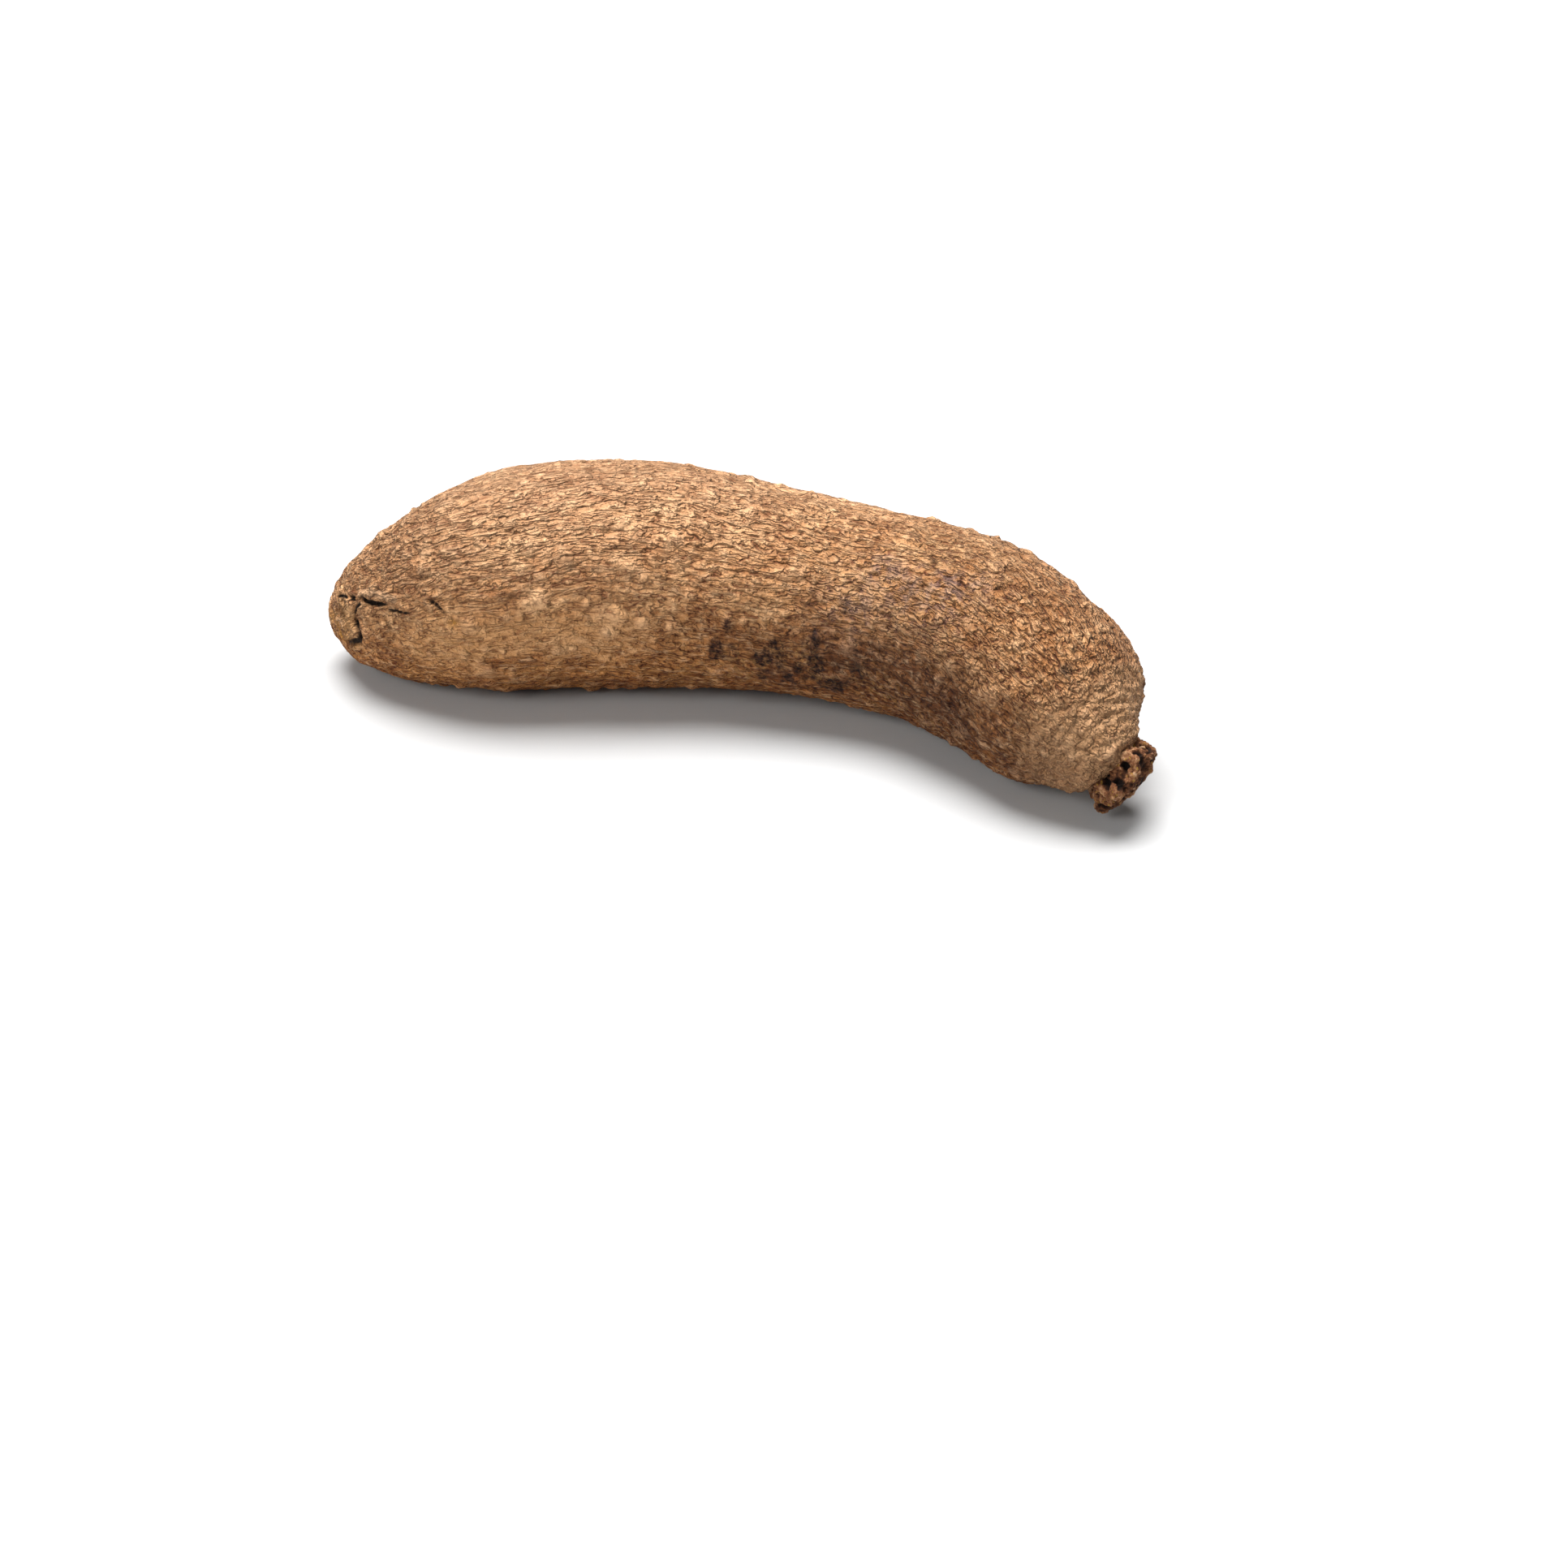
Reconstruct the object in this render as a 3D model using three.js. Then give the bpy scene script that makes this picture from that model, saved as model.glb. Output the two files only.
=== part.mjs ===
// A whole yam tuber, dug and trimmed, lying on its side. One piece, as it grew: the barky body tapers
// to a blunt growing tip at -X, bends gently, and ends at +X in a blunt shoulder from which the corky
// crown stands, the old head where the vine was attached.
//
// Millimetres. +X runs along the tuber from tip to crown, the body bulges towards +Y, +Z is up.
// The origin is at the middle of the bounding box, on the surface that the tuber lies on.
import * as THREE from "three";
import { mergeVertices } from "three/addons/utils/BufferGeometryUtils.js";

// ---- Driving dimensions ----------------------------------------------------------------------

// The tuber's centre line and girth: x, y, height of the centre, radius, from the tip to the crown.
// The body touches the ground wherever its radius is no less than the height of its centre.
const STATIONS = [
  [-164.5, -23.5, 19.5, 12.0],
  [-150.0, -19.0, 23.0, 21.2],
  [-127.0, -16.0, 31.5, 32.6],
  [-100.0, -8.0, 41.0, 42.0],
  [-70.0, 9.0, 44.7, 45.5],
  [-35.0, 24.5, 44.5, 45.2],
  [0.0, 33.5, 41.4, 42.2],
  [35.0, 40.0, 39.2, 40.0],
  [70.0, 40.0, 38.4, 39.2],
  [100.0, 32.0, 38.4, 39.2],
  [126.0, 19.5, 36.3, 37.2],
  [142.5, 6.2, 33.0, 34.6],
  [160.4, -4.2, 25.5, 25.5],
  [177.0, -6.1, 15.0, 17.5],
];
const ROUNDING_POWER = 2.2; // 2 would round each end as an ellipse, more makes it blunter
const TIP_ROUNDING = 14; // length over which the tip rounds off
const SHOULDER_ROUNDING = 42; // length over which the body rounds in to the lip round the crown
const LIP_RADIUS = 13.5;
const LIP_OVERHANG = 2.5; // length over which the lip's edge turns in under itself
const CROWN_HEIGHT = 14; // how far the crown stands out of the lip
const CROWN_RADIUS = 15.8;
const CROWN_ROUNDING = 8;
const CROWN_ROOT = 20; // how far the crown reaches back inside the body
const WAIST_DEPTH = 4; // how much narrower the crown is where it leaves the lip
const WAIST_WIDTH = 4.5;

// Mesh density
const RINGS = 84;
const COLUMNS = 60;
const END_CROWDING = 0.88; // 0 spaces the rings evenly, towards 1 crowds them at both ends

// ---- Surface features ------------------------------------------------------------------------

// Each broad swelling: share of the radius, waves round the girth, waves along the length, phase.
const SWELLINGS = [
  [0.012, 2, 6.6, 0.4],
  [0.01, 3, -13.5, 1.9],
  [0.008, 1, 28.0, 0.0],
];
// The crown's nodules: share of its radius, nodules round, radians per mm along, phase.
const NODULES = [
  [0.09, 5, 0.25, 0.6],
  [0.06, 7, -0.45, 2.1],
];
// The tip's cleft runs lengthways down the -Y side: its angle round from the top at the tip, how that
// drifts per millimetre, and its reach along the tuber.
const CLEFT = { angle: -0.85, drift: -0.014, halfAngle: 0.17, from: 2, to: 32, fade: 6, depth: 1.6 };
// A shallow valley round the collar, just before the lip.
const COLLAR_VALLEY = { beforeLip: 9, width: 4, depth: 0.8 };

// A bump that is 1 at the middle and fades over its width.
const bump = (x, middle, width) => Math.exp(-(((x - middle) / width) ** 2));

// Rises from 0 to 1 over the width as a superellipse's quarter, so an end closes round.
function rounded(distance, width) {
  const left = THREE.MathUtils.clamp(1 - distance / width, 0, 1);
  return (1 - left ** ROUNDING_POWER) ** (1 / ROUNDING_POWER);
}

function swelling(angle, share) {
  return SWELLINGS.reduce((sum, [size, round, along, phase]) =>
    sum + size * Math.sin(round * angle + along * share + phase), 0);
}

function nodules(angle, along) {
  return NODULES.reduce((sum, [size, round, perMm, phase]) =>
    sum + size * Math.sin(round * angle + perMm * along + phase), 0);
}

// How deep the cleft is: full along its middle, fading out sideways and at both ends.
function cleftDepth(along, angle) {
  const fromMiddle = angle - CLEFT.angle - CLEFT.drift * along;
  const turn = Math.atan2(Math.sin(fromMiddle), Math.cos(fromMiddle));
  const begun = THREE.MathUtils.smoothstep(along, CLEFT.from, CLEFT.from + CLEFT.fade);
  const left = 1 - THREE.MathUtils.smoothstep(along, CLEFT.to - CLEFT.fade, CLEFT.to);
  return CLEFT.depth * bump(turn, 0, CLEFT.halfAngle) * begun * left;
}

// ---- Centre line -----------------------------------------------------------------------------

const centreLine = new THREE.CatmullRomCurve3(
  STATIONS.map(([x, y, z]) => new THREE.Vector3(x, y, z)), false, "catmullrom");
const girthLine = new THREE.CatmullRomCurve3(
  STATIONS.map(([x, , , radius]) => new THREE.Vector3(x, radius, 0)), false, "catmullrom");
centreLine.arcLengthDivisions = 2000;
const LENGTH = centreLine.getLength();
const LIP = LENGTH - CROWN_HEIGHT;

// The body closes in to the lip, and the crown flares out of it past a narrow waist.
function radiusAt(along, parameter, angle) {
  const girth = girthLine.getPoint(parameter).y;
  const shoulder = rounded(Math.max(LIP - along, 0), SHOULDER_ROUNDING);
  let body = LIP_RADIUS + (girth - LIP_RADIUS) * shoulder;
  body *= rounded(along, TIP_ROUNDING) * rounded(Math.max(LIP + LIP_OVERHANG - along, 0), LIP_OVERHANG);
  body *= 1 + shoulder * swelling(angle, along / LENGTH);
  body -= COLLAR_VALLEY.depth * bump(along, LIP - COLLAR_VALLEY.beforeLip, COLLAR_VALLEY.width);
  body -= cleftDepth(along, angle);
  if (along < LIP - CROWN_ROOT) return body;
  const crown = CROWN_RADIUS * rounded(LENGTH - along, CROWN_ROUNDING)
    * (1 + nodules(angle, LENGTH - along));
  const waist = WAIST_DEPTH * bump(along, LIP, WAIST_WIDTH);
  return Math.max(body, crown - waist);
}

// ---- Tuber -----------------------------------------------------------------------------------

// A unit sphere whose rings are laid along the centre line: its north pole becomes the tip and its
// south pole the crown's end.
function tuberGeometry() {
  const sphere = new THREE.SphereGeometry(1, COLUMNS, RINGS);
  sphere.deleteAttribute("normal");
  sphere.deleteAttribute("uv");
  const geometry = mergeVertices(sphere);
  const position = geometry.getAttribute("position");
  const up = new THREE.Vector3(0, 0, 1);
  const point = new THREE.Vector3();
  for (let i = 0; i < position.count; i++) {
    point.fromBufferAttribute(position, i);
    const share = Math.acos(THREE.MathUtils.clamp(point.y, -1, 1)) / Math.PI;
    const angle = Math.atan2(point.x, point.z);
    const crowded = share - END_CROWDING * Math.sin(2 * Math.PI * share) / (2 * Math.PI);
    const parameter = centreLine.getUtoTmapping(crowded);
    const forward = centreLine.getTangent(parameter);
    const side = new THREE.Vector3().crossVectors(forward, up).normalize();
    const rise = new THREE.Vector3().crossVectors(side, forward);
    const atPole = share < 1e-4 || share > 1 - 1e-4;
    const radius = atPole ? 0 : radiusAt(crowded * LENGTH, parameter, angle);
    point.copy(centreLine.getPoint(parameter))
      .addScaledVector(rise, radius * Math.cos(angle))
      .addScaledVector(side, -radius * Math.sin(angle));
    // Where the body would reach below ground it is pressed flat, which is what it rests on.
    position.setXYZ(i, point.x, point.y, Math.max(point.z, 0));
  }
  geometry.computeBoundingBox();
  const middle = geometry.boundingBox.getCenter(new THREE.Vector3());
  geometry.translate(-middle.x, -middle.y, 0);
  geometry.computeVertexNormals();
  return geometry;
}

// Dry, barky skin: tan over brown, with no shine.
const bark = new THREE.MeshStandardMaterial({
  name: "bark",
  color: new THREE.Color(0.56, 0.39, 0.25),
  roughness: 0.9,
  metalness: 0,
});

const yam = new THREE.Mesh(tuberGeometry(), bark);
yam.name = "yam";

const tuber = new THREE.Group();
tuber.add(yam);

export default tuber;
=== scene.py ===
# %% [markdown]
# # A whole yam tuber
#
# A yam is one living body: flesh, bark, the scarred growing tip and the corky crown all grew together.
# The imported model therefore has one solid, `yam`. Its form is right, but its skin is plain. This lesson
# dresses it in a fine surface with the relief of corky bark, and in materials worked out from noise.
#
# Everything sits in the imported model's own frame: +X runs from the growing tip to the crown, +Z is up
# and -Y is the front. Shapes are worked out in millimetres and turned to metres when they become meshes.

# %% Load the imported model
import itertools
import math

import bpy
import numpy as np
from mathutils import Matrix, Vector


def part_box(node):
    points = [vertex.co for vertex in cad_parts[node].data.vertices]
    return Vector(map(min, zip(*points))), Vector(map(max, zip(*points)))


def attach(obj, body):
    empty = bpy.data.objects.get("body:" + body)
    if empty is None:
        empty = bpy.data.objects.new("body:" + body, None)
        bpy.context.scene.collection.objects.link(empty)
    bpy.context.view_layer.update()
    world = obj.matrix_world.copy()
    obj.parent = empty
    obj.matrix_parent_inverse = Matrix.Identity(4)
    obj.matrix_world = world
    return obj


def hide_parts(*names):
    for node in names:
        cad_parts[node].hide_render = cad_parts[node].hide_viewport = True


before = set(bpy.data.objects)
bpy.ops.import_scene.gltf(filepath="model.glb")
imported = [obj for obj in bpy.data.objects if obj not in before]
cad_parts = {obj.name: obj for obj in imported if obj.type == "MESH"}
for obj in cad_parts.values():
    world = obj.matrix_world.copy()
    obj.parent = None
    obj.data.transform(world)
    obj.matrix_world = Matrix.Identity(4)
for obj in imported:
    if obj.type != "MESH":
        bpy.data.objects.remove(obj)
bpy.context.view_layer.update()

YAM_LOW, YAM_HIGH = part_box("yam")
MM = 0.001
print("the solid measures", [round((b - a) / MM, 1) for a, b in zip(YAM_LOW, YAM_HIGH)], "mm")

# %% [markdown]
# ## Noise, the raw material of bark
#
# Bark is orderly at one scale and random at the next. Texture nodes make the finest random detail, but
# a shape has to be in the mesh, so the same kinds of noise are also written for numpy. Each takes a
# whole array of points at once. The random numbers come from the lattice counts themselves, so every
# run gives the same tuber.


# %% A random number for every cell of a lattice
WORD = np.uint64(0xFFFFFFFF)
ODD_FACTORS = np.array([374761393, 668265263, 2246822519], dtype=np.uint64)
SEED_FACTOR = 3266489917
MIXING_STEPS = ((15, 2246822519), (13, 3266489917), (16, 668265263))


def lattice_random(cell, seed):
    """From 0 to 1 for each whole-number cell: the counts times odd numbers, added, then bits mixed."""
    count = cell.astype(np.int64).astype(np.uint64)
    mixed = (count * ODD_FACTORS).sum(axis=-1) + np.uint64(seed * SEED_FACTOR % 2 ** 32)
    for shift, factor in MIXING_STEPS:
        mixed = mixed & WORD
        mixed = (mixed ^ (mixed >> np.uint64(shift))) * np.uint64(factor)
    return ((mixed & WORD) >> np.uint64(4)).astype(float) / 2.0 ** 28


# %% Smooth noise and rough noise
AXIS_SEEDS = (0, 101, 202)
OWN_SEED = 303
NOISE_GAIN = 1.6


def smooth_noise(point, seed):
    """Gradient noise, about -1 to 1. Each lattice corner has a random slope; the eight slopes round a
    point are blended with the weight 6t^5 - 15t^4 + 10t^3."""
    cell = np.floor(point)
    inside = point - cell
    weight = inside ** 3 * (inside * (inside * 6 - 15) + 10)
    total = np.zeros(point.shape[:-1])
    for corner in itertools.product((0, 1), repeat=3):
        corner = np.array(corner)
        slope = np.stack([lattice_random(cell + corner, seed + k) for k in AXIS_SEEDS], axis=-1)
        share = np.where(corner == 1, weight, 1 - weight).prod(axis=-1)
        total += share * ((slope * 2 - 1) * (inside - corner)).sum(axis=-1)
    return total * NOISE_GAIN


def rough_noise(point, seed, octaves=3, gain=0.5):
    """Smooth noise added at doubled scales, each octave `gain` times as strong as the one before."""
    total = np.zeros(point.shape[:-1])
    for octave in range(octaves):
        total += gain ** octave * smooth_noise(point * 2.0 ** octave, seed + 7 * octave)
    return total


def nearest_lump(point, seed):
    """Strews one lump in each lattice cell. Gives how far the nearest lump's middle is from each point,
    and that lump's own random number."""
    cell = np.floor(point)
    nearest = np.full(point.shape[:-1], 9.0)
    own = np.zeros(point.shape[:-1])
    for step in itertools.product((-1, 0, 1), repeat=3):
        home = cell + np.array(step)
        jitter = np.stack([lattice_random(home, seed + k) for k in AXIS_SEEDS], axis=-1)
        away = np.linalg.norm(home + jitter - point, axis=-1)
        closer = away < nearest
        nearest = np.where(closer, away, nearest)
        own = np.where(closer, lattice_random(home, seed + OWN_SEED), own)
    return nearest, own


def smooth_step(x, low, high):
    """0 below low, 1 above high, and 3t^2 - 2t^3 between."""
    t = np.clip((x - low) / (high - low), 0, 1)
    return t * t * (3 - 2 * t)


# %% [markdown]
# ## The tuber's form
#
# The form is a round body swept along a bent centre line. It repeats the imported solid's own stations
# and formulas, so the fine skin lies on the solid to a fraction of a millimetre. A sweep was chosen
# over sculpting because bark follows the growth: distance along the centre line and angle round it are
# exactly the two directions that the cracks care about.

# %% Stations: x, y, height of the centre, radius
STATIONS = np.array([
    [-164.5, -23.5, 19.5, 12.0],
    [-150.0, -19.0, 23.0, 21.2],
    [-127.0, -16.0, 31.5, 32.6],
    [-100.0, -8.0, 41.0, 42.0],
    [-70.0, 9.0, 44.7, 45.5],
    [-35.0, 24.5, 44.5, 45.2],
    [0.0, 33.5, 41.4, 42.2],
    [35.0, 40.0, 39.2, 40.0],
    [70.0, 40.0, 38.4, 39.2],
    [100.0, 32.0, 38.4, 39.2],
    [126.0, 19.5, 36.3, 37.2],
    [142.5, 6.2, 33.0, 34.6],
    [160.4, -4.2, 25.5, 25.5],
    [177.0, -6.1, 15.0, 17.5],
])
ROUNDING_POWER = 2.2
TIP_ROUNDING = 14.0
SHOULDER_ROUNDING = 42.0
LIP_RADIUS = 13.5
LIP_OVERHANG = 2.5
CROWN_HEIGHT = 14.0
# Each broad swelling: share of the radius, waves round, radians along the whole tuber, phase.
SWELLINGS = [(0.012, 2, 6.6, 0.4), (0.01, 3, -13.5, 1.9), (0.008, 1, 28.0, 0.0)]
VALLEY_BEFORE_LIP = 9
VALLEY_WIDTH = 4
VALLEY_DEPTH = 0.8
CLEFT_TURN = 0.85
CLEFT_DRIFT = 0.014
CLEFT_HALF_TURN = 0.17
CLEFT_FROM = 2
CLEFT_TO = 32
CLEFT_FADE = 6
CLEFT_DEPTH = 1.6


def spline(t, slope=False):
    """Catmull-Rom through the stations, t from 0 to 1: in a span with the four points a, b, c, d it is
    half of 2b + (c-a)u + (2a-5b+4c-d)u^2 + (3b-a-3c+d)u^3. With slope, its rate of change."""
    ends = 2 * STATIONS[[0, -1]] - STATIONS[[1, -2]]
    padded = np.vstack([ends[:1], STATIONS, ends[1:]])
    scaled = np.clip(t, 0, 1) * (len(STATIONS) - 1)
    span = np.minimum(scaled.astype(int), len(STATIONS) - 2)
    u = (scaled - span)[..., None]
    a, b, c, d = (padded[span + k] for k in range(4))
    square = 2 * a - 5 * b + 4 * c - d
    cube = 3 * b - a - 3 * c + d
    if slope:
        return 0.5 * ((c - a) + 2 * square * u + 3 * cube * u ** 2)
    return 0.5 * (2 * b + (c - a) * u + square * u ** 2 + cube * u ** 3)


LINE_SAMPLES = np.linspace(0, 1, 2001)
LINE_STEPS = np.linalg.norm(np.diff(spline(LINE_SAMPLES)[:, :3], axis=0), axis=1)
LINE_LENGTHS = np.concatenate([[0.0], np.cumsum(LINE_STEPS)])
LENGTH = LINE_LENGTHS[-1]
LIP = LENGTH - CROWN_HEIGHT
print("centre line", round(LENGTH, 1), "mm, lip at", round(LIP, 1), "mm")


# %% Where the centre line is, and which way it runs
def line_at(along):
    """Centre, girth, and the two directions across the line: the rise, nearest to up, and the front."""
    t = np.interp(along, LINE_LENGTHS, LINE_SAMPLES)
    place = spline(t)
    forward = spline(t, slope=True)[..., :3]
    forward /= np.linalg.norm(forward, axis=-1, keepdims=True)
    front = np.cross(forward, [0.0, 0.0, 1.0])
    front /= np.linalg.norm(front, axis=-1, keepdims=True)
    return place[..., :3], place[..., 3], np.cross(front, forward), front


# %% How far the skin is from the centre line
def rounded(distance, width):
    """Rises from 0 to 1 over the width as a quarter of a superellipse, so an end closes round."""
    left = np.clip(1 - distance / width, 0, 1)
    return (1 - left ** ROUNDING_POWER) ** (1 / ROUNDING_POWER)


def bump(x, middle, width):
    """1 at the middle, fading over the width: e to the minus square of the distance."""
    return np.exp(-((x - middle) / width) ** 2)


def wrapped(angle):
    """The same angle, from -pi to pi."""
    return np.arctan2(np.sin(angle), np.cos(angle))


def body_radius(along, girth, turn):
    """The girth, closing in to the lip over the shoulder and rounding off at the tip, with broad
    swellings (sines of turn and distance), less two bumps: a shallow valley round the collar, and the
    cleft that the tip's gashes lie in."""
    shoulder = rounded(np.maximum(LIP - along, 0), SHOULDER_ROUNDING)
    radius = LIP_RADIUS + (girth - LIP_RADIUS) * shoulder
    radius = radius * rounded(along, TIP_ROUNDING)
    radius = radius * rounded(np.maximum(LIP + LIP_OVERHANG - along, 0), LIP_OVERHANG)
    share = along / LENGTH
    swelling = sum(size * np.sin(-waves * turn + radians * share + phase)
                   for size, waves, radians, phase in SWELLINGS)
    radius = radius * (1 + shoulder * swelling)
    radius = radius - VALLEY_DEPTH * bump(along, LIP - VALLEY_BEFORE_LIP, VALLEY_WIDTH)
    aside = wrapped(-turn + CLEFT_TURN + CLEFT_DRIFT * along)
    begun = smooth_step(along, CLEFT_FROM, CLEFT_FROM + CLEFT_FADE)
    reach = begun * (1 - smooth_step(along, CLEFT_TO - CLEFT_FADE, CLEFT_TO))
    return radius - CLEFT_DEPTH * bump(aside, 0, CLEFT_HALF_TURN) * reach


def out_from_line(along, turn, radius):
    """The centre, plus the radius towards the turn, which runs from the top to the front."""
    centre, _, rise, front = line_at(along)
    return centre + radius[..., None] * (rise * np.cos(turn)[..., None] + front * np.sin(turn)[..., None])


def skin_at(along, turn):
    """A point on the smooth skin."""
    return out_from_line(along, turn, body_radius(along, line_at(along)[1], turn))


# %% [markdown]
# ## Rings and columns
#
# The skin is a grid: rings along the tuber, columns round it. Rings are set closer where there is more
# to show, at the gashed tip and the folded collar, by spacing them evenly in a weighted distance along
# the profile. Columns are a little closer on top than underneath, where the tuber rests.

# %% Lay out the grid
RINGS = 404
COLUMNS = 244
TOP_CROWDING = 0.2
WIDE_SPACING = 1.24
CLOSER_AT_TIP = 0.72
CLOSER_AT_COLLAR = 0.62
MEASURED_TURN = 2.0


def ring_places():
    """Distances along the line of the rings: the length of the profile at one turn is divided by the
    wanted spacing, added up, and cut into equal parts."""
    share = np.linspace(0, 1, 40001)
    fine = (LIP + LIP_OVERHANG) * (share - np.sin(2 * math.pi * share) / (2 * math.pi))
    radius = body_radius(fine, line_at(fine)[1], np.full_like(fine, MEASURED_TURN))
    step = np.hypot(np.diff(fine), np.diff(radius))
    middle = (fine[1:] + fine[:-1]) / 2
    spacing = WIDE_SPACING - CLOSER_AT_TIP * (1 - smooth_step(middle, 45, 85))
    spacing = spacing - CLOSER_AT_COLLAR * smooth_step(middle, LIP - 45, LIP - 20)
    count = np.concatenate([[0.0], np.cumsum(step / spacing)])
    profile = np.concatenate([[0.0], np.cumsum(step)])
    even = np.linspace(0, count[-1], RINGS + 2)[1:-1]
    return np.interp(even, count, fine), np.interp(even, count, profile), profile[-1]


ALONG, PROFILE, PROFILE_LENGTH = ring_places()
COLUMN = np.arange(COLUMNS) / COLUMNS * 2 * math.pi - math.pi
TURN = COLUMN - TOP_CROWDING * np.sin(COLUMN)
GRID_ALONG, GRID_TURN = np.meshgrid(ALONG, TURN, indexing="ij")


def relaxed(surface, first, last, passes):
    """Evens out kinks between two places along the tuber: each pass moves a ring a quarter of the way
    to each neighbour, fading out at both places."""
    here = smooth_step(ALONG, first, first + 15) * (1 - smooth_step(ALONG, last - 10, last))
    here = here[1:-1, None, None]
    for _ in range(passes):
        neighbours = (surface[:-2] + surface[2:]) / 2
        surface[1:-1] += 0.5 * here * (neighbours - surface[1:-1])
    return surface


SMOOTH = relaxed(skin_at(GRID_ALONG, GRID_TURN), 285, 352, 60)
LOW_CORNER = np.array([YAM_LOW[0], YAM_LOW[1], 0.0]) / MM
OFFSET = np.array([SMOOTH[..., 0].min(), SMOOTH[..., 1].min(), 0.0]) - LOW_CORNER
RADIUS = np.linalg.norm(SMOOTH - line_at(ALONG)[0][:, None], axis=-1)
print("rings", RINGS, "columns", COLUMNS, "profile", round(PROFILE_LENGTH, 1), "mm")


# %% The skin's outward direction
def outward(surface):
    """Across the ring times along the tuber, made unit length."""
    round_it = np.roll(surface, -1, axis=1) - np.roll(surface, 1, axis=1)
    along_it = np.gradient(surface, axis=0)
    normal = np.cross(round_it, along_it)
    return normal / np.maximum(np.linalg.norm(normal, axis=-1, keepdims=True), 1e-9)


NORMAL = outward(SMOOTH)

# %% [markdown]
# ## Growing directions
#
# Bark cracks run lengthways, so noise that stands for them is stretched lengthways. `GRAIN` unrolls the
# tuber into a straight one: its first number is the distance along the skin, divided by how much the
# cracks are stretched there, and the other two are the place in the tuber's cross-section. The cracks
# are long in the middle of the tuber and short and chunky towards the crown.

# %% The straightened tuber
STRETCH = 3.6 - 0.6 * smooth_step(ALONG, 235, 330) - 0.5 * (1 - smooth_step(ALONG, 20, 75))
LENGTHWAYS = np.concatenate([[0.0], np.cumsum(np.diff(PROFILE) / ((STRETCH[1:] + STRETCH[:-1]) / 2))])
ACROSS = np.stack([RADIUS * np.cos(GRID_TURN), RADIUS * np.sin(GRID_TURN)], axis=-1)
GRAIN = np.concatenate([np.broadcast_to(LENGTHWAYS[:, None, None], RADIUS.shape + (1,)), ACROSS], axis=-1)
STRAIGHT = np.concatenate([np.broadcast_to(PROFILE[:, None, None], RADIUS.shape + (1,)), ACROSS], axis=-1)


# %% Marks placed on the skin
def trail(stops, count=60):
    """Points on the skin from stop to stop; a stop is millimetres along and degrees round to the front."""
    stops = np.array(stops, dtype=float)
    share = np.linspace(0, len(stops) - 1, count)
    along = np.interp(share, np.arange(len(stops)), stops[:, 0])
    turn = np.interp(share, np.arange(len(stops)), stops[:, 1])
    return skin_at(along, np.radians(turn))


def from_trail(points):
    """For each grid point, the distance to the nearest point of the trail and that one's share along it."""
    nearest = np.full(RADIUS.shape, 1e9)
    share = np.zeros(RADIUS.shape)
    for k, point in enumerate(points):
        away = np.linalg.norm(SMOOTH - point, axis=-1)
        share = np.where(away < nearest, k / max(len(points) - 1, 1), share)
        nearest = np.minimum(nearest, away)
    return nearest, share


def spots(places):
    """The strongest of some round marks, each (mm along, degrees round, radius in mm, strength)."""
    total = np.zeros(RADIUS.shape)
    for along, turn, radius, strength in places:
        middle = skin_at(np.array([along]), np.radians(np.array([turn])))
        away = np.linalg.norm(SMOOTH - middle, axis=-1) / radius
        total = np.maximum(total, strength * np.exp(-away ** 2))
    return total


def wash(along, turn, reach_along, reach_round):
    """A wide soft mark: fades with the distance along and the degrees round, each by its own reach."""
    aside = np.degrees(wrapped(GRID_TURN - math.radians(turn)))
    return np.exp(-((GRID_ALONG - along) / reach_along) ** 2 - (aside / reach_round) ** 2)


# %% [markdown]
# ## Relief of the bark
#
# On the real tuber the skin is a few tenths of a millimetre of dead cork that tore as the flesh swelled.
# It has broad uneven lumps, lengthways wrinkles between the cracks, crumbs, and round warts and knolls
# where roots began. Lumps, wrinkles and crumbs are each one noise with its own size; warts are domes
# round strewn points. All are heights in millimetres, to be added up. The relief is weaker on the smooth
# patch low on the front and stronger towards the crown.

# %% Where the bark is smooth, chunky or folded
SMOOTH_PATCH = np.clip(wash(95, 98, 42, 24) + 0.7 * wash(60, 92, 22, 22) + 0.4 * wash(135, 96, 24, 16), 0, 1)
CHUNKY = np.maximum(smooth_step(GRID_ALONG, 215, 310), 0.8 * wash(45, 32, 30, 42))
COLLAR = smooth_step(GRID_ALONG, LIP - 26, LIP - 10)


# %% Broad lumps, wrinkles and crumbs
def bark_relief():
    """Lumps of 40, 17 and about 8 mm, wrinkles stretched lengthways (1 less twice a noise's size, which
    is sharpest where the noise changes sign), and crumbs: each a noise times its height."""
    lumps = 0.75 * smooth_noise(STRAIGHT / 40, 11) + 0.45 * smooth_noise(STRAIGHT / 17, 12)
    lumps = lumps + (0.5 + 0.3 * CHUNKY) * smooth_noise(STRAIGHT / [9.5, 7.0, 7.0], 16)
    sway = np.stack([smooth_noise(STRAIGHT / 14, 40 + k) for k in range(3)], axis=-1) * [1.0, 2.2, 2.2]
    wrinkles = 1 - 2 * np.abs(smooth_noise((GRAIN + sway) / 3.4, 13))
    fine_wrinkles = 1 - 2 * np.abs(smooth_noise((GRAIN + sway) / 1.9, 14))
    crumbs = rough_noise((STRAIGHT + sway) / 2.6, 15, 2)
    strength = 1 - 0.65 * SMOOTH_PATCH - 0.5 * COLLAR
    wrinkle_part = 0.36 * wrinkles + 0.2 * fine_wrinkles
    crumb_part = (0.24 + 0.3 * CHUNKY) * crumbs
    return lumps, strength * (wrinkle_part + crumb_part)


FAR = 2.0  # in a mark's own radii; nothing of the mark is left there


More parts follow.
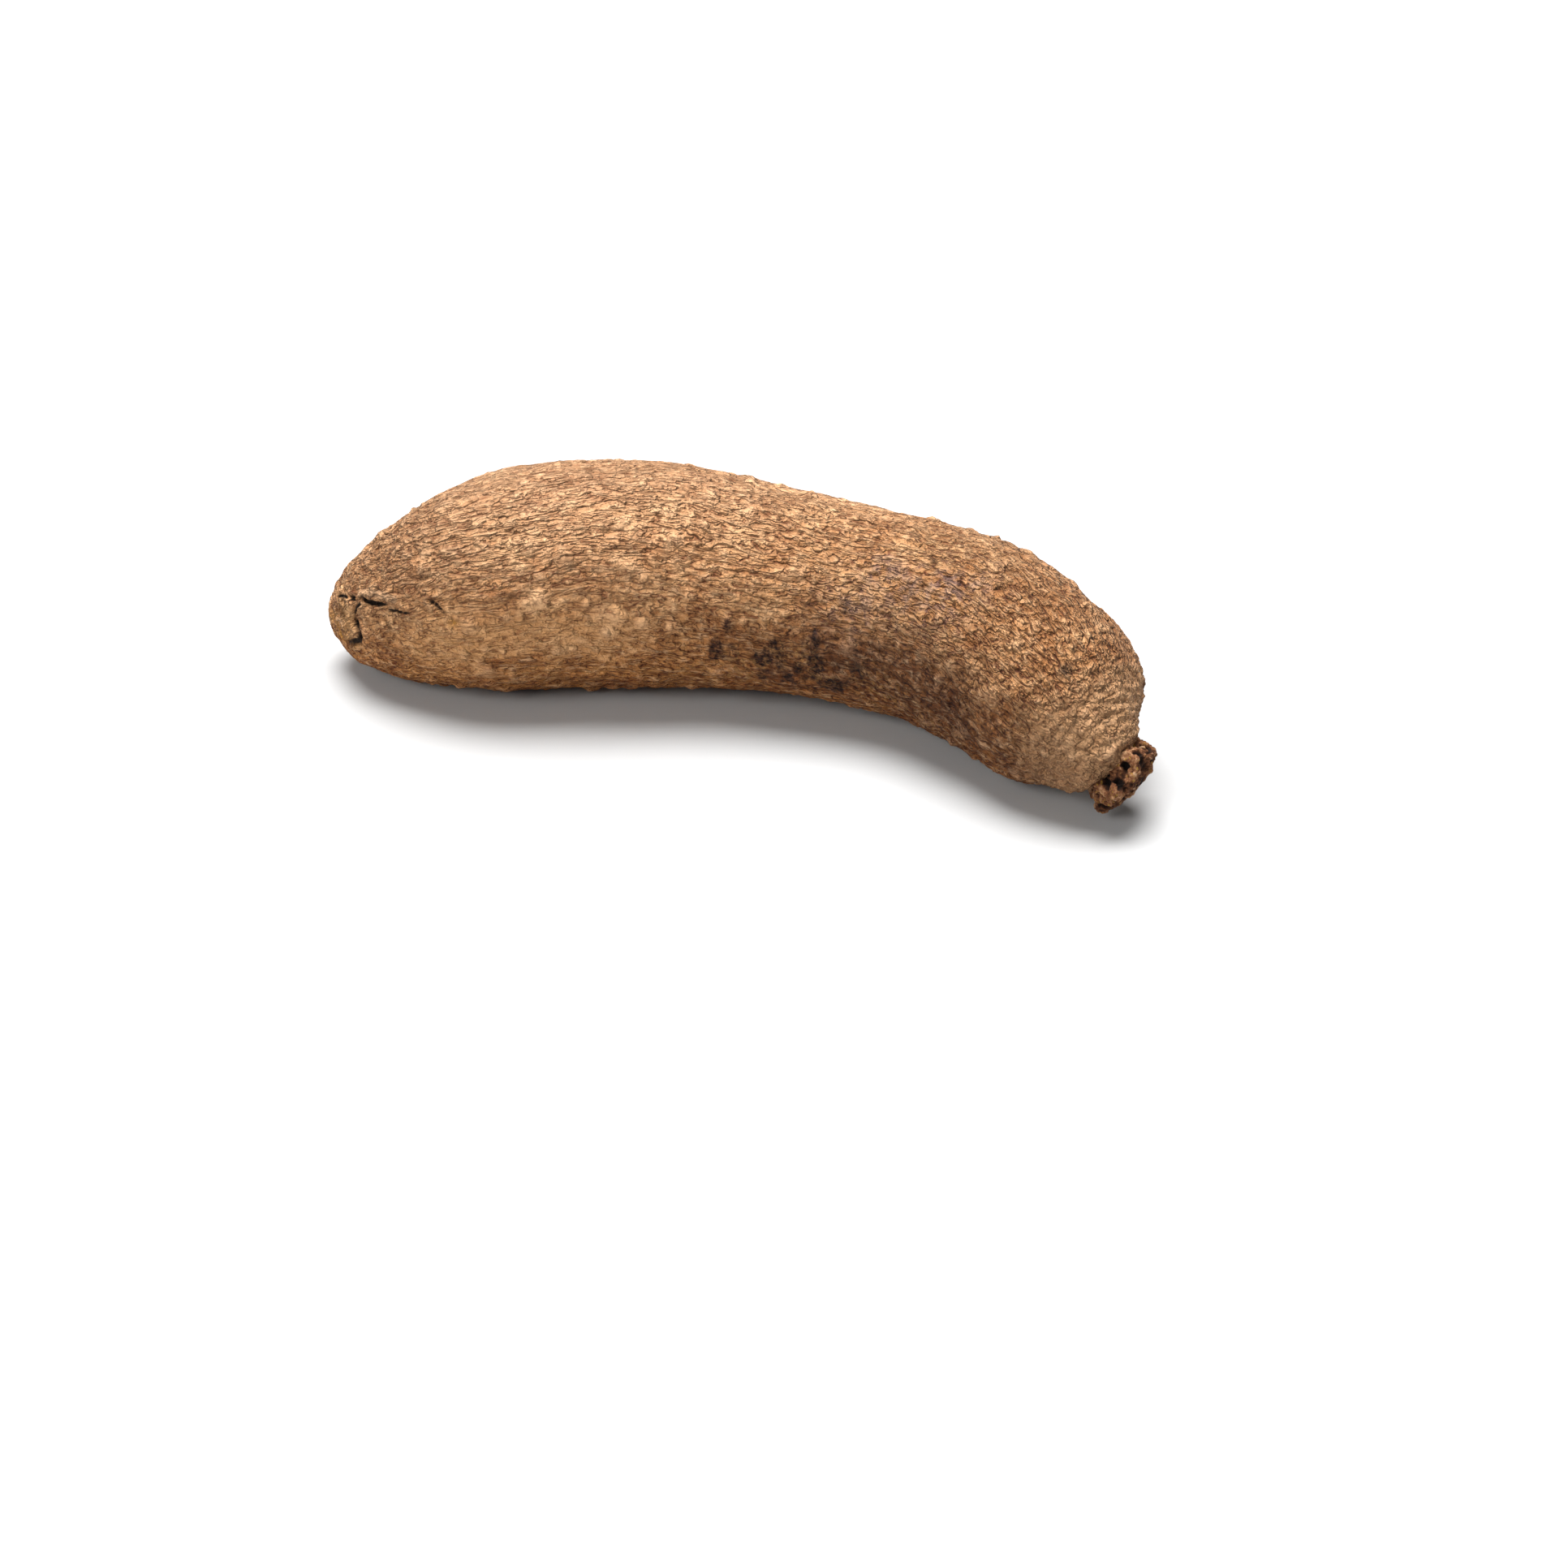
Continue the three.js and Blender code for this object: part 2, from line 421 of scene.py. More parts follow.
def strewn(count, smallest, largest, seed):
    """Round marks strewn over the skin by chance. Gives each grid point's distance from the nearest
    mark's middle, counted in that mark's own radii, made uneven by noise and no more than FAR."""
    dice = np.random.default_rng(seed)
    skin_so_far = np.cumsum(RADIUS.mean(axis=1) * np.gradient(ALONG))
    along = np.interp(dice.uniform(0, skin_so_far[-1], count), skin_so_far, ALONG)
    middles = skin_at(along, dice.uniform(-math.pi, math.pi, count))
    reach = np.full(RADIUS.shape, FAR)
    for place, middle, radius in zip(along, middles, dice.uniform(smallest, largest, count)):
        width = 2 * FAR * radius
        near = slice(*np.searchsorted(ALONG, [place - width, place + width]))
        reach[near] = np.minimum(reach[near], np.linalg.norm(SMOOTH[near] - middle, axis=-1) / radius)
    return np.minimum(reach * (1 + 0.25 * smooth_noise(STRAIGHT / 1.9, seed)), FAR)


LUMPS, WRINKLES = bark_relief()
WART_REACH = strewn(520, 1.1, 2.3, 31)
KNOLL_REACH = strewn(170, 2.6, 4.8, 35)
PIT_REACH = strewn(36, 0.8, 1.4, 37)
WARTS = np.clip(1 - WART_REACH ** 2, 0, 1)
KNOLLS = np.clip(1 - KNOLL_REACH ** 2, 0, 1) ** 1.5
WART_PITS = np.clip(1 - PIT_REACH ** 2, 0, 1)
print("wrinkles", round(WRINKLES.min(), 2), "to", round(WRINKLES.max(), 2), "mm")

# %% [markdown]
# ## The torn growing tip
#
# At its tip the tuber stopped growing and tore: two dark gashes run back from it along the front, and
# below them sits a plug of old cork ringed by a crack, its outer edge broken down to orange flesh. They
# could be cut with another shape, but a tear has soft shoulders. So a gash is a trail on the skin: its
# depth falls off with the distance from the trail, which is made ragged with noise, and it throws up a
# low rim on each side.


# %% Gashes
# Painted shade: a gash is painted darker the deeper it is, standing in for shade inside the tear.
DARK_DEPTH = 1.4  # a gash this deep is quite black inside


def gash(stops, width, depth, rim, ragged=0.2):
    """Depth times e to the minus square of distance over width, tapering to both ends of the trail,
    and a rim nearly two widths out. Gives the height, and how dark it is, from 0 to 1."""
    away, share = from_trail(trail(stops))
    taper = np.clip(np.minimum(share / 0.12, (1 - share) / 0.35), 0, 1) ** 0.6
    away = away + ragged * smooth_noise(STRAIGHT / 1.7, 51) + 0.5 * ragged * smooth_noise(STRAIGHT / 0.8, 52)
    hollow = bump(away, 0, width) * taper
    edge = bump(away, 1.9 * width, 0.8 * width) * taper
    return rim * edge - depth * hollow, hollow * min(1, depth / DARK_DEPTH)


FIRST_GASH = [(11, 36), (18, 44), (23, 50)]
FIRST_HOLE = [(24, 50), (26, 52), (28, 53)]
SECOND_GASH = [(31, 53), (34, 58), (37, 60), (42, 62)]
THIRD_GASH = [(41, 65), (46, 68), (52, 71)]
PLUG_SEAM = [(31, 58), (28, 60), (26, 64), (25, 71)]
PLUG_CRACK = [(25, 70), (26, 76), (27, 83), (24, 91), (16, 94), (8, 100)]
FISSURE = [(59, 64), (61, 68), (63, 75)]
gashes = [
    gash(FIRST_GASH, 0.6, 1.6, 0.3, 0.25),
    gash(FIRST_HOLE, 1.0, 2.4, 0.4),
    gash(SECOND_GASH, 0.85, 2.8, 0.45, 0.4),
    gash(THIRD_GASH, 0.55, 1.2, 0.3, 0.3),
    gash(PLUG_SEAM, 0.7, 1.4, 0.4),
    gash(PLUG_CRACK, 1.35, 3.2, 0.5),
    gash(FISSURE, 0.9, 1.1, 0.4, 0.5),
]
GASH_RELIEF = sum(relief for relief, hollow in gashes)
GASH = np.clip(sum(hollow for relief, hollow in gashes), 0, 1)
FLAP, _ = from_trail(trail([(31, 50), (37, 52), (42, 56), (46, 60)]))
PLUG_FOLD, _ = from_trail(trail([(6, 46), (7, 65), (13, 70), (13, 77)]))
PLUG = spots([(16, 58, 6.0, 1.0), (21, 74, 5.0, 1.0), (17, 84, 5.5, 1.0)])
PLUG_RELIEF = (PLUG * (1.0 * rough_noise(STRAIGHT / 2.6, 53, 3) + 0.6)
               + 0.7 * bump(FLAP, 0, 1.8) + 0.5 * bump(PLUG_FOLD, 0, 0.7))
print("gashes reach", round(GASH_RELIEF.min(), 2), "mm")

# %% [markdown]
# ## The folded collar
#
# Round the crown the bark was still growing when the vine died. It is paler, and it lies in soft folds
# that run round the tuber, not along it. They are waves in the distance from the lip, bent by noise.

# %% Folds
FOLD_SPACING = 3.4
fold_bend = 1.6 * smooth_noise(STRAIGHT / 9, 61) + 0.8 * smooth_noise(STRAIGHT / 3.5, 62)
FROM_LIP = PROFILE_LENGTH - PROFILE[:, None] + np.zeros_like(RADIUS)
fold_waves = np.sin(2 * math.pi * FROM_LIP / FOLD_SPACING + 2.2 * fold_bend)
FOLDS = COLLAR * (0.28 * fold_waves + 0.3 * smooth_noise(STRAIGHT / 5.5, 63))
print("collar folds every", FOLD_SPACING, "mm")

# %% [markdown]
# ## Single marks
#
# A few marks make this tuber the one that it is: pits, knobs, pale warts, broad pale blobs on the smooth
# patch with brown patches between them, and a curved scar. They are listed one row each: how far
# along, how far round, how large and how strong.

# %% Pits, knobs, warts and the scar
PITS = spots([
    (64, 79, 1.5, 1.0), (81, 69, 1.3, 0.7), (106, 58, 1.0, 0.6), (178, 82, 2.2, 0.6),
    (171, 98, 1.6, 0.6), (262, 17, 1.6, 0.9), (310, 62, 1.1, 0.7), (335, 18, 2.0, 0.6),
    (46, 90, 1.0, 0.6), (51, 89, 1.1, 0.6), (110, 80, 1.0, 0.4),
])
KNOBS = spots([
    (76, 66, 2.2, 0.6), (85, 72, 2.4, 0.7), (116, 84, 2.2, 0.6), (132, 66, 2.2, 0.6),
    (338, -69, 2.0, 1.3), (336, 21, 2.4, 0.5),
])
PALE_WARTS = spots([
    (78, 24, 2.0, 1.0), (107, 26, 2.2, 1.0), (124, 54, 2.6, 1.0), (117, 58, 2.0, 0.9), (135, 60, 2.2, 1.0),
    (85, 54, 2.4, 1.0), (68, 46, 2.2, 1.0), (60, 36, 2.4, 0.9), (74, 40, 2.0, 0.9), (310, 62, 2.2, 0.9),
    (93, 38, 2.0, 0.9), (102, 46, 1.8, 0.9), (146, 47, 2.2, 0.9), (152, 30, 2.4, 0.8), (128, 36, 2.0, 0.8),
])
PALE_BLOBS = spots([
    (87, 72, 5.0, 1.0), (118, 82, 5.0, 1.0), (121, 88, 4.0, 0.9), (101, 100, 4.5, 0.9), (80, 98, 3.5, 0.8),
    (67, 116, 4.5, 0.8), (136, 86, 4.0, 0.9), (150, 78, 3.0, 0.6),
])
BROWN_PATCH = spots([(91, 104, 7.0, 1.0), (101, 108, 6.0, 0.9), (85, 96, 4.5, 0.8), (66, 91, 4.0, 0.8),
                     (112, 96, 5.0, 0.7), (145, 95, 6.0, 0.6), (55, 98, 4.0, 0.6)])
SCAR_ARC, _ = from_trail(trail([(253, 46), (258, 42), (264, 42), (268, 46)]))
print("pale warts cover", round(100 * float((PALE_WARTS > 0.5).mean()), 2), "% of the grid")

# %% Add the relief up and press the belly flat
WART_HEIGHT = 0.6
KNOLL_HEIGHT = 1.1
PALE_WART_HEIGHT = 0.9
PALE_BLOB_HEIGHT = 0.4
WART_PIT_DEPTH = 0.6
SCAR_DEPTH = 0.35
SCAR_WIDTH = 0.8
off_the_tip = smooth_step(GRID_ALONG, 12, 40)
HEIGHT = LUMPS + WRINKLES + GASH_RELIEF + PLUG_RELIEF + FOLDS
HEIGHT = HEIGHT + WART_HEIGHT * WARTS + KNOLL_HEIGHT * KNOLLS * off_the_tip - WART_PIT_DEPTH * WART_PITS
HEIGHT = HEIGHT + PALE_WART_HEIGHT * PALE_WARTS + PALE_BLOB_HEIGHT * PALE_BLOBS
HEIGHT = HEIGHT - PITS + KNOBS - SCAR_DEPTH * bump(SCAR_ARC, 0, SCAR_WIDTH)
end_fade = rounded(np.maximum(LIP + LIP_OVERHANG - GRID_ALONG, 0), 3.0) * smooth_step(GRID_ALONG, 0.0, 3.0)
SKIN = SMOOTH + NORMAL * (HEIGHT * end_fade)[..., None] - OFFSET
SKIN[..., 2] = np.maximum(SKIN[..., 2], 0.0)
print("relief", round(HEIGHT.min(), 2), "to", round(HEIGHT.max(), 2), "mm")

# %% [markdown]
# ## From arrays to a mesh
#
# A closed grid becomes a mesh of four-sided faces, with a fan of triangles that closes each end on one
# point. Going round the ring first and along the tuber second makes every face point outwards. The
# piece's own numbers, such as the grain direction or where a stain is, go with it as point attributes.


# %% One closed surface
def closed_surface(name, rings, first, last):
    """A mesh from an array of rings (ring, column, xyz) in millimetres and the point closing each end."""
    count, around = rings.shape[:2]
    points = np.concatenate([rings.reshape(-1, 3), [first, last]]) * MM
    ring, column = np.meshgrid(np.arange(count - 1), np.arange(around), indexing="ij")
    onward = (column + 1) % around
    corners = [ring * around + column, ring * around + onward, (ring + 1) * around + onward,
               (ring + 1) * around + column]
    quads = np.stack([corner.ravel() for corner in corners], axis=1)
    side = np.arange(around)
    ahead = (side + 1) % around
    start_fan = np.stack([ahead, side, np.full(around, count * around)], axis=1)
    tail = (count - 1) * around
    end_fan = np.stack([tail + side, tail + ahead, np.full(around, count * around + 1)], axis=1)
    mesh = bpy.data.meshes.new(name)
    mesh.from_pydata(points.tolist(), [], quads.tolist() + start_fan.tolist() + end_fan.tolist())
    mesh.polygons.foreach_set("use_smooth", np.ones(len(mesh.polygons), dtype=bool))
    lay_out_uv(mesh, count, around)
    mesh.update()
    piece = bpy.data.objects.new(name, mesh)
    bpy.context.scene.collection.objects.link(piece)
    return piece


def lay_out_uv(mesh, count, around):
    """Unrolls the surface: across for the ring, up for the column, seam at the first column."""
    ring, column = np.meshgrid(np.arange(count - 1), np.arange(around), indexing="ij")
    u = np.stack([ring, ring, ring + 1, ring + 1], axis=-1).reshape(-1) + 1.0
    v = np.stack([column, column + 1, column + 1, column], axis=-1).reshape(-1) + 0.0
    side = np.arange(around)
    fan_v = np.stack([side + 1, side, side + 0.5], axis=1).reshape(-1)
    start_u = np.tile([1.0, 1.0, 0.0], around)
    end_u = np.tile([count, count, count + 1.0], around)
    end_v = np.stack([side, side + 1, side + 0.5], axis=1).reshape(-1)
    across = np.concatenate([u, start_u, end_u]) / (count + 1)
    up = np.concatenate([v, fan_v, end_v]) / around
    layer = mesh.uv_layers.new(name="OFBake")
    layer.data.foreach_set("uv", np.stack([across, up], axis=1).ravel())


def give_numbers(piece, name, rings):
    """Stores one number a point, or three, as an attribute that the material reads by name. The point
    that closes each end gets the mean of the ring next to it."""
    flat = np.asarray(rings, dtype=np.float32)
    if flat.ndim == 3:
        ends = np.stack([flat[0].mean(axis=0), flat[-1].mean(axis=0)])
        attribute = piece.data.attributes.new(name, "FLOAT_VECTOR", "POINT")
        attribute.data.foreach_set("vector", np.concatenate([flat.reshape(-1, 3), ends]).ravel())
        return
    attribute = piece.data.attributes.new(name, "FLOAT", "POINT")
    ends = np.array([flat[0].mean(), flat[-1].mean()], dtype=np.float32)
    attribute.data.foreach_set("value", np.concatenate([flat.ravel(), ends]))


def measure(piece):
    """Prints how many triangles a piece has and how large it is."""
    points = np.array([vertex.co for vertex in piece.data.vertices]) / MM
    faces = sum(len(face.vertices) - 2 for face in piece.data.polygons)
    print(piece.name, faces, "triangles,", np.round(points.max(axis=0) - points.min(axis=0), 1), "mm")


# %% Make the bark skin
tip_point = line_at(np.array([0.0]))[0][0] - OFFSET
inner_point = line_at(np.array([LIP + LIP_OVERHANG]))[0][0] - OFFSET
bark_skin = closed_surface("bark_skin", SKIN, tip_point, inner_point)
measure(bark_skin)

# %% [markdown]
# ## Where the colours lie
#
# The bark is orange-tan on top and on the tip's side, pale and smooth low on the front, and dull brown
# towards the crown. The top is also mixed paler, partly pinker bark and partly painted light from above;
# the lower side gets painted shade, darker and warmer; and washes on the front darken it, partly darker
# bark and partly painted shade, most of all low towards the crown. Sap and soil left a purple-brown stain
# on the middle of the front with golden mottles round it, and rubbing left grey patches. Each is a soft
# map on the grid; the material breaks up its edges with noise.

# %% Colour maps
def smears(places):
    """The strongest of some washes, each (mm along, degrees round, its two reaches, strength)."""
    return np.max([strength * wash(*place) for *place, strength in places], axis=0)


STAIN = smears([
    (176, 83, 2.2, 6, 1.0), (172, 99, 3.0, 9, 0.95), (179, 91, 2.5, 7, 0.5), (192, 98, 5.0, 8, 0.85),
    (196, 90, 3.0, 6, 0.6), (217, 84, 3.0, 10, 0.75), (219, 97, 4.0, 9, 0.85), (226, 111, 7.0, 9, 0.9),
    (201, 114, 13.0, 7, 0.6), (207, 101, 8.0, 9, 0.6), (230, 66, 2.5, 12, 0.4), (240, 92, 8.0, 10, 0.5),
    (252, 80, 10.0, 10, 0.4), (208, 104, 36.0, 22, 0.45),
])
GOLD = smears([(184, 106, 12, 9, 0.8), (205, 92, 14, 8, 0.7), (222, 104, 10, 8, 0.6), (176, 118, 14, 9, 1.0),
               (255, 108, 22, 14, 0.8), (290, 118, 22, 14, 0.5)])
HAZE = np.clip(spots([(244, 35, 12, 0.8), (262, 40, 12, 1.0), (276, 34, 14, 1.0), (285, 20, 10, 0.8),
                      (232, 60, 14, 0.6)]), 0, 1)
# Painted shade on the lower side: it is tinted darker and warmer, and the painted hollows and highlights of
# the relief are stronger there.
UNDERSIDE_PAINTED_SHADE = smooth_step(np.degrees(np.abs(wrapped(GRID_TURN))), 55, 125)
# Darker washes on the front: partly darker bark, partly painted shade low on the front towards the crown.
DARK_BARK_AND_PAINTED_SHADE = np.clip(
    wash(290, 108, 60, 30) + 0.4 * wash(300, 75, 60, 34) + 0.3 * wash(45, 32, 34, 40)
    + 0.3 * wash(190, 105, 40, 24) + 0.45 * wash(240, 62, 42, 34)
    + 0.5 * wash(215, 96, 32, 22), 0, 1)
# Paler towards the top: partly pinker bark, partly painted light from above.
PALER_TOP_PAINTED_LIGHT = np.clip(
    wash(90, 0, 70, 62) + 0.6 * wash(180, -5, 60, 48) + 0.3 * wash(280, -20, 60, 30)
    + 0.8 * wash(190, -46, 160, 26), 0, 1)
ORANGE_EDGE = spots([(3, 50, 2.4, 0.8), (5, 66, 2.8, 1.0), (8, 80, 2.8, 1.0), (8, 90, 2.4, 1.0),
                     (64, 79, 1.6, 0.9)])
PALE_RIM = np.clip(bump(FLAP, 0.6, 0.9) + bump(PLUG_FOLD, 0, 0.8), 0, 1)
# Dark marks on pits, a knob, the wart pits and the scar; in the dents the dark is partly painted shade.
DARK_MARK = np.clip(1.2 * spots([(335, 18, 2.2, 1.0), (262, 17, 1.5, 1.0), (338, -69, 2.0, 1.0),
                                 (106, 58, 1.4, 0.7), (81, 68, 1.2, 0.7)])
                    + 0.5 * bump(SCAR_ARC, 0, 0.8) + 0.8 * WART_PITS, 0, 1)
maps = {
    "grain": GRAIN, "relief": WRINKLES + FOLDS, "wart_reach": WART_REACH, "knoll_reach": KNOLL_REACH,
    "smooth_patch": SMOOTH_PATCH, "chunky": CHUNKY, "collar": COLLAR, "gash": GASH, "plug": PLUG,
    "stain": STAIN, "gold": GOLD, "haze": HAZE, "dusk": DARK_BARK_AND_PAINTED_SHADE, "underside": UNDERSIDE_PAINTED_SHADE, "sunny": PALER_TOP_PAINTED_LIGHT,
    "pale": np.clip(PALE_WARTS + PALE_BLOBS, 0, 1), "brown_patch": BROWN_PATCH,
    "orange_edge": ORANGE_EDGE, "dark_mark": DARK_MARK, "pale_rim": PALE_RIM,
}
for map_name, values in maps.items():
    give_numbers(bark_skin, map_name, values)
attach(bark_skin, "root")
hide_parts("yam")
print("maps:", ", ".join(maps))

# %% [markdown]
# ## The crown
#
# Where the vine was attached, the tuber ends in a knob of dead, corky wood. It crumbles: lumps of a few
# millimetres with black hollows between them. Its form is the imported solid's flaring knob. The lumps are
# domes round strewn points, pushed out far more than bark, with noise on two finer scales.

# %% Crown form
CROWN_RADIUS = 15.8
CROWN_ROUNDING = 8.0
CROWN_INSIDE = 11.0
CROWN_RINGS = 190
CROWN_COLUMNS = 230
WAIST_DEPTH = 4
WAIST_WIDTH = 4.5
INNER_ROUNDING = 5.0
# Each set of nodules: share of the radius, how many round, radians per millimetre along, phase.
NODULES = [(0.09, 5, 0.25, 0.6), (0.06, 7, -0.45, 2.1)]


def crown_form():
    """Rings from inside the body to the outer end: the crown's radius with its nodules, less the waist
    where it leaves the lip, closed round at both ends."""
    share = np.linspace(0, 1, CROWN_RINGS + 2)[1:-1]
    even = share - np.sin(2 * math.pi * share) / (2 * math.pi) * 0.92
    along = LIP - CROWN_INSIDE + even * (CROWN_HEIGHT + CROWN_INSIDE)
    turn = np.arange(CROWN_COLUMNS) / CROWN_COLUMNS * 2 * math.pi - math.pi
    along, turn = np.meshgrid(along, turn, indexing="ij")
    left = LENGTH - along
    nodules = sum(size * np.sin(-waves * turn + per_mm * left + phase)
                  for size, waves, per_mm, phase in NODULES)
    radius = CROWN_RADIUS * rounded(left, CROWN_ROUNDING) * (1 + nodules)
    radius = radius - WAIST_DEPTH * bump(along, LIP, WAIST_WIDTH)
    radius = radius * rounded(along - (LIP - CROWN_INSIDE), INNER_ROUNDING)
    return out_from_line(along, turn, radius), along


crown_smooth, crown_along = crown_form()
crown_normal = outward(crown_smooth)


# %% Crown relief
def crumble(point):
    """Domes of two sizes less hollows, and crumbs: near 0 on average, in millimetres. Gives the height,
    where it is hollow, and each small dome's own random number."""
    bent = point + 1.2 * np.stack([smooth_noise(point / 3.0, 70 + k) for k in range(3)], axis=-1)
    large, large_own = nearest_lump(bent / 6.0, 71)
    small, small_own = nearest_lump(bent / 2.6, 72)
    domes = 2.3 * (0.55 - large) + 1.0 * (0.5 - small) + 0.8 * (large_own - 0.5)
    hollows = smooth_step(smooth_noise(bent / 4.2, 73), 0.12, 0.45)
    crumbs = 0.45 * rough_noise(point / 1.3, 74, 2)
    return domes - 2.6 * hollows + crumbs, hollows, small_own


crown_height, crown_hollow, crown_own = crumble(crown_smooth)
crown_fade = rounded(LENGTH - crown_along, 2.0)
crown_fade = crown_fade * rounded(crown_along - (LIP - CROWN_INSIDE), INNER_ROUNDING)
crown_rings = crown_smooth + crown_normal * (crown_height * crown_fade)[..., None] - OFFSET
crown_rings[..., 2] = np.maximum(crown_rings[..., 2], 0.0)
crown_start = line_at(np.array([LIP - CROWN_INSIDE]))[0][0] - OFFSET
crown_end = line_at(np.array([LENGTH]))[0][0] - OFFSET
crown = closed_surface("corky_crown", crown_rings, crown_start, crown_end)
give_numbers(crown, "relief", crown_height)
give_numbers(crown, "hollow", crown_hollow)
give_numbers(crown, "lump", crown_own)
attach(crown, "root")
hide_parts("yam")
measure(crown)

# %% [markdown]
# ## Writing materials as sums
#
# A material is a sum of effects: base colour, plus cracks, times stain. Written as nodes it is hard to
# read, so a small class wraps a socket. Adding or multiplying two of them adds the Math node and gives
# back its output, and one method adds any other node.


# %% A socket that can be added and multiplied
class Wire:
    """One output socket in a node tree."""

    def __init__(self, tree, socket=None):
        self.tree = tree
        self.socket = socket

    def add(self, kind, settings=None, inputs=None, output=0):
        """Any node: its settings first, then a value or a link for each input."""
        node = self.tree.nodes.new(kind)
        for name, value in (settings or {}).items():
            if name == "stops":
                self.set_stops(node.color_ramp, value)
            else:
                setattr(node, name, value)
        for name, value in (inputs or {}).items():
            if isinstance(value, Wire):
                self.tree.links.new(value.socket, node.inputs[name])
            else:
                node.inputs[name].default_value = value
        return Wire(self.tree, node.outputs[output])

    def set_stops(self, ramp, stops):
        """A ramp's stops: (place, colour) pairs."""
        while len(ramp.elements) < len(stops):
            ramp.elements.new(1.0)
        for element, (place, colour) in zip(ramp.elements, stops):
            element.position = place
            element.color = colour

    def math(self, operation, *values, clamp=False):
        """A Math node on one to three values."""
        return self.add("ShaderNodeMath", {"operation": operation, "use_clamp": clamp},
                        dict(enumerate(values)))

    def __add__(self, other):
        return self.math("ADD", self, other)

    def __radd__(self, other):
        return self.math("ADD", other, self)

    def __sub__(self, other):
        return self.math("SUBTRACT", self, other)

    def __rsub__(self, other):
        return self.math("SUBTRACT", other, self)

    def __mul__(self, other):
        return self.math("MULTIPLY", self, other)

    def __rmul__(self, other):
        return self.math("MULTIPLY", other, self)

    def __pow__(self, other):
        return self.math("POWER", self, other)

    def clamped(self):
        """Kept from 0 to 1."""
        return self.math("ADD", self, 0.0, clamp=True)

    def rise(self, low, high):
        """0 below low, 1 above high, smooth between."""
        return self.add("ShaderNodeMapRange", {"interpolation_type": "SMOOTHSTEP"},
                        {"Value": self, "From Min": low, "From Max": high})

    def mix(self, first, second):
        """The first colour where this is 0, the second where it is 1."""
        return self.add("ShaderNodeMix", {"data_type": "RGBA", "clamp_factor": True},
                        {0: self, 6: first, 7: second}, output=2)

    def shade(self, colour, tint):
        """The colour where this is 0, the colour times the tint where it is 1."""
        return self.mix(colour, colour.vector("MULTIPLY", tint))

    def vector(self, operation, *values):
        """A Vector Math node on this and the given vectors, or a number as its scale."""
        inputs = {0: self}
        for place, value in enumerate(values):
            inputs[3 if operation == "SCALE" else place + 1] = value
        return self.add("ShaderNodeVectorMath", {"operation": operation}, inputs)


# %% Colours and shared patterns
def paint(code):
    """A colour written as six hex digits, turned from display values to light, as four numbers."""
    parts = [int(code[k:k + 2], 16) / 255 for k in (0, 2, 4)]
    light = [p / 12.92 if p <= 0.04045 else ((p + 0.055) / 1.055) ** 2.4 for p in parts]
    return (*light, 1.0)


def new_material(name):
    """An empty material, its shader and a wire to start from."""
    material = bpy.data.materials.new(name)
    material.use_nodes = True
    tree = material.node_tree
    tree.nodes.clear()
    shader = tree.nodes.new("ShaderNodeBsdfPrincipled")
    output = tree.nodes.new("ShaderNodeOutputMaterial")
    tree.links.new(shader.outputs[0], output.inputs[0])
    return material, shader, Wire(tree)


def attribute(start, name, output=2):
    """A number that the piece carries, or with output 1 a vector."""
    return start.add("ShaderNodeAttribute", {"attribute_name": name}, output=output)


def noise(place, scale, detail=2.0, roughness=0.5, output=0):
    """Noise around 0.5 at a place; scale is waves per unit."""
    return place.add("ShaderNodeTexNoise", {}, {"Vector": place, "Scale": scale, "Detail": detail,
                                                "Roughness": roughness}, output=output)


def bent(place, scale, amount, detail=1.0):
    """The place, pushed about by a noise of its own."""
    push = noise(place, scale, detail, output=1).vector("SUBTRACT", (0.5, 0.5, 0.5))
    return place.vector("ADD", push.vector("MULTIPLY", amount))


# %% [markdown]
# ## Corky bark
#
# Bark tears into short lengthways cracks that wander, fork and stop. Cells would give closed plates, like
# tiles, and wave textures give even wood grain. Instead a crack is the line where a noise passes through
# its middle, and the noise is read in the grain coordinates, so the line runs lengthways. Two such
# noises take turns, patch by patch, so that no crack closes into a ring; a third, much larger, gives a
# few long cracks. One side of each line stands higher than the other, as a flake's edge does, so the
# same noise feeds both the bump height, in millimetres, and the colour. Warts, the smooth patch and the
# collar calm the cracks.

# %% Bark: coordinates and cracks
bark, bark_shader, start = new_material("corky_bark")
grain = attribute(start, "grain", output=1)
spot = start.add("ShaderNodeTexCoord", output="Object").vector("SCALE", 1 / MM)  # in millimetres
smooth_patch = attribute(start, "smooth_patch")
chunky = attribute(start, "chunky")
collar = attribute(start, "collar")
wart_reach = attribute(start, "wart_reach")
knoll_reach = attribute(start, "knoll_reach")
wart = (1 - wart_reach * wart_reach).clamped()
knoll = (1 - knoll_reach * knoll_reach).clamped()
blotch = noise(spot, 0.055, 3.0, 0.55).rise(0.5, 0.64)
smoothness = smooth_patch * (1 - 0.8 * blotch)
pale = attribute(start, "pale")
calm = (1 - 0.5 * smoothness - 0.75 * collar) * (1 - 0.75 * wart - 0.4 * knoll - 0.7 * pale).clamped()
swayed = bent(grain, 0.13, (1.2, 5.0, 5.0))
crinkle = noise(spot, 0.2, 1.0, 0.5, output=1).vector("SUBTRACT", (0.5, 0.5, 0.5))
crinkle = crinkle.vector("MULTIPLY", (0.8, 1.4, 1.4)).vector("SCALE", 1 - 0.5 * smooth_patch)
crinkled = swayed.vector("MULTIPLY", (0.8, 1.0, 1.0)).vector("ADD", crinkle)


def torn_line(place, scale, width):
    """A noise less its middle, its size, which grows away from the line, and the line: 1 where the
    size is 0, falling to 0 where it reaches the width."""
    wave = noise(place, scale, 1.0, 0.45) - 0.5
    off_line = wave.math("ABSOLUTE", wave)
    return wave, off_line, 1 - off_line.rise(0.0, width)


